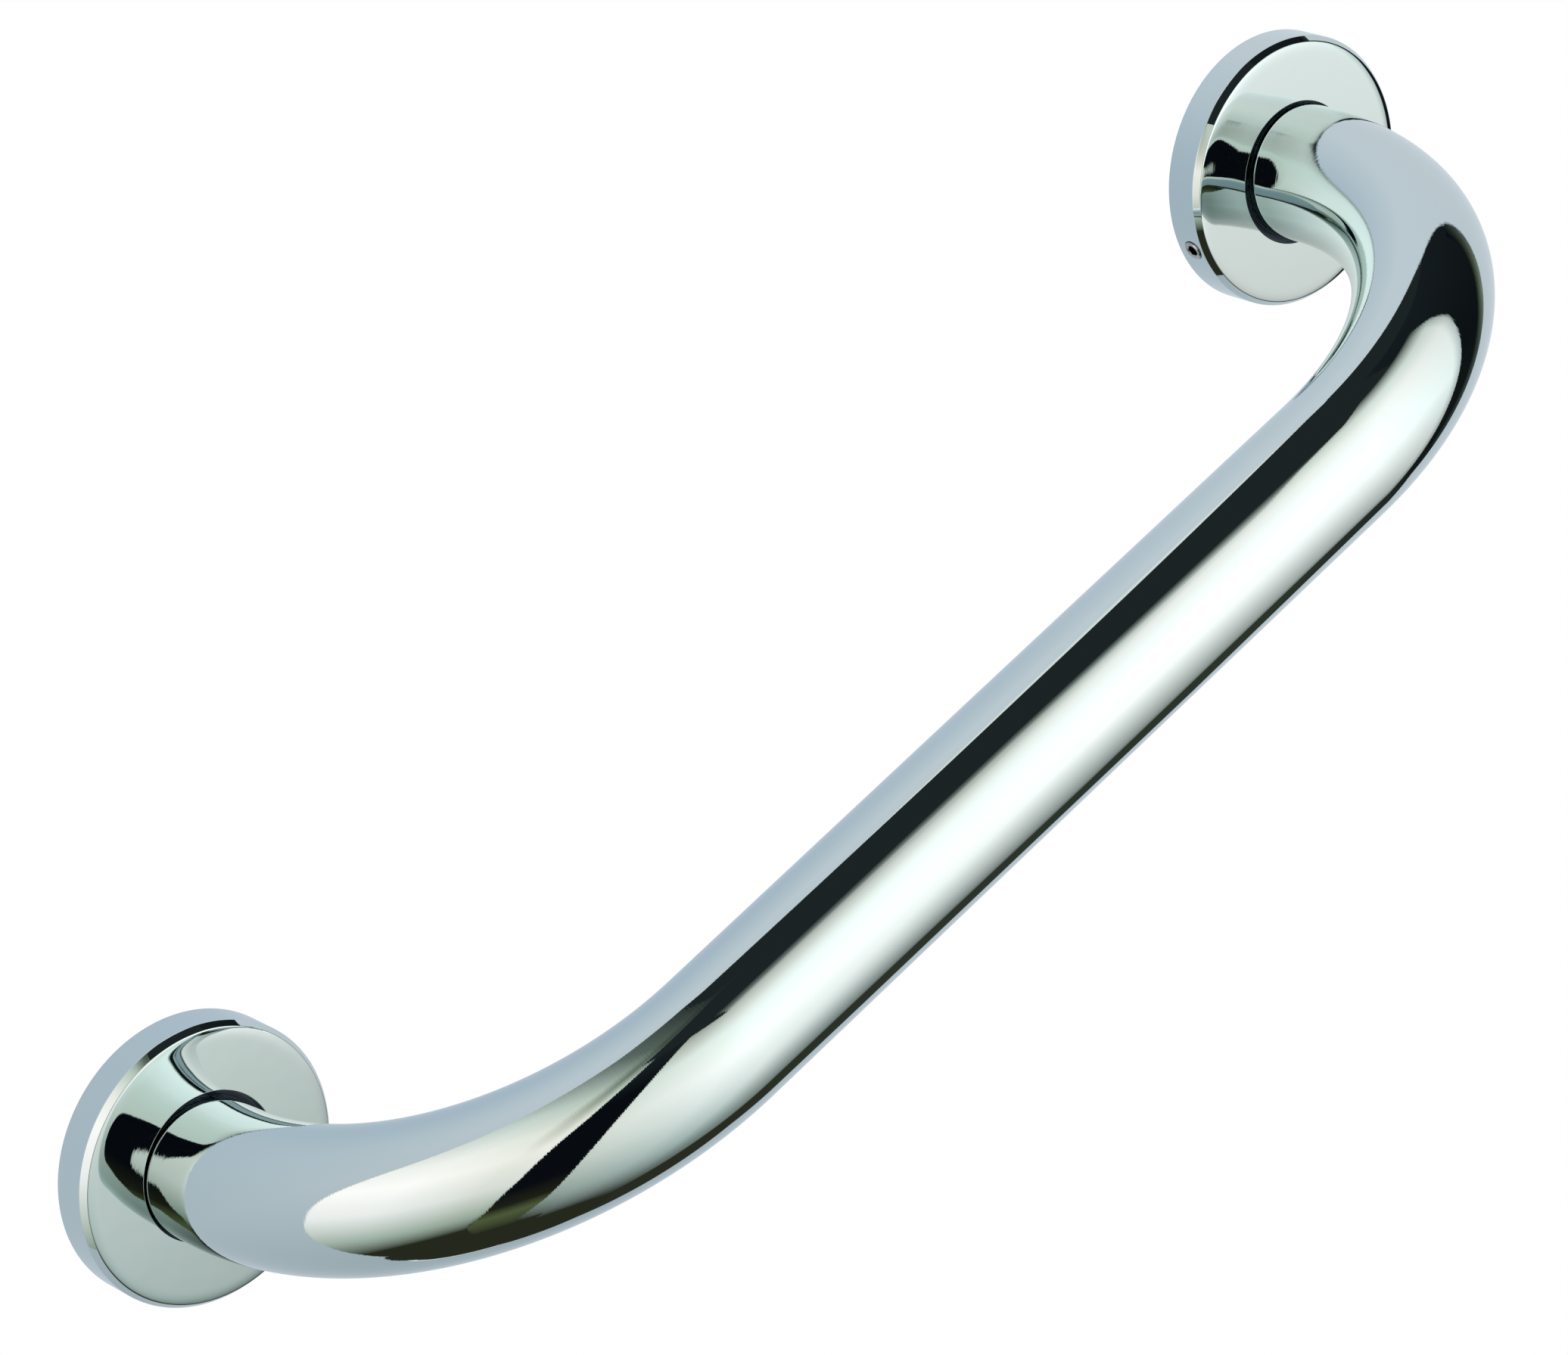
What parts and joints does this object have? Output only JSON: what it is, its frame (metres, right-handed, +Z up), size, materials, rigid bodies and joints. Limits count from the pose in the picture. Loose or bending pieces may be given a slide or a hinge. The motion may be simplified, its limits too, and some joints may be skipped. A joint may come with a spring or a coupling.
{
  "type": "grab bar",
  "caption": "Chrome grab bar: a bent tube between two round rosettes that clamp over wall plates and hide the wall screws.",
  "frame": {"origin": "on the wall plane, midway between the axes of the two feet", "axes": "+X along the bar, -Y out of the wall towards the user, +Z up"},
  "size_m": [0.4178, 0.111, 0.064],
  "materials": {
    "chrome": "mirror polished chrome plate",
    "plate_steel": "turned steel, bright zinc plated",
    "screw_steel": "stainless steel, as cold headed"
  },
  "bodies": {
    "root": {"grab_tube": "chrome", "rosette_left": "chrome", "rosette_right": "chrome", "end_flange_left": "plate_steel", "end_flange_right": "plate_steel", "wall_plate_left": "plate_steel", "wall_plate_right": "plate_steel", "grub_screws": "screw_steel"}
  },
  "joints": []
}
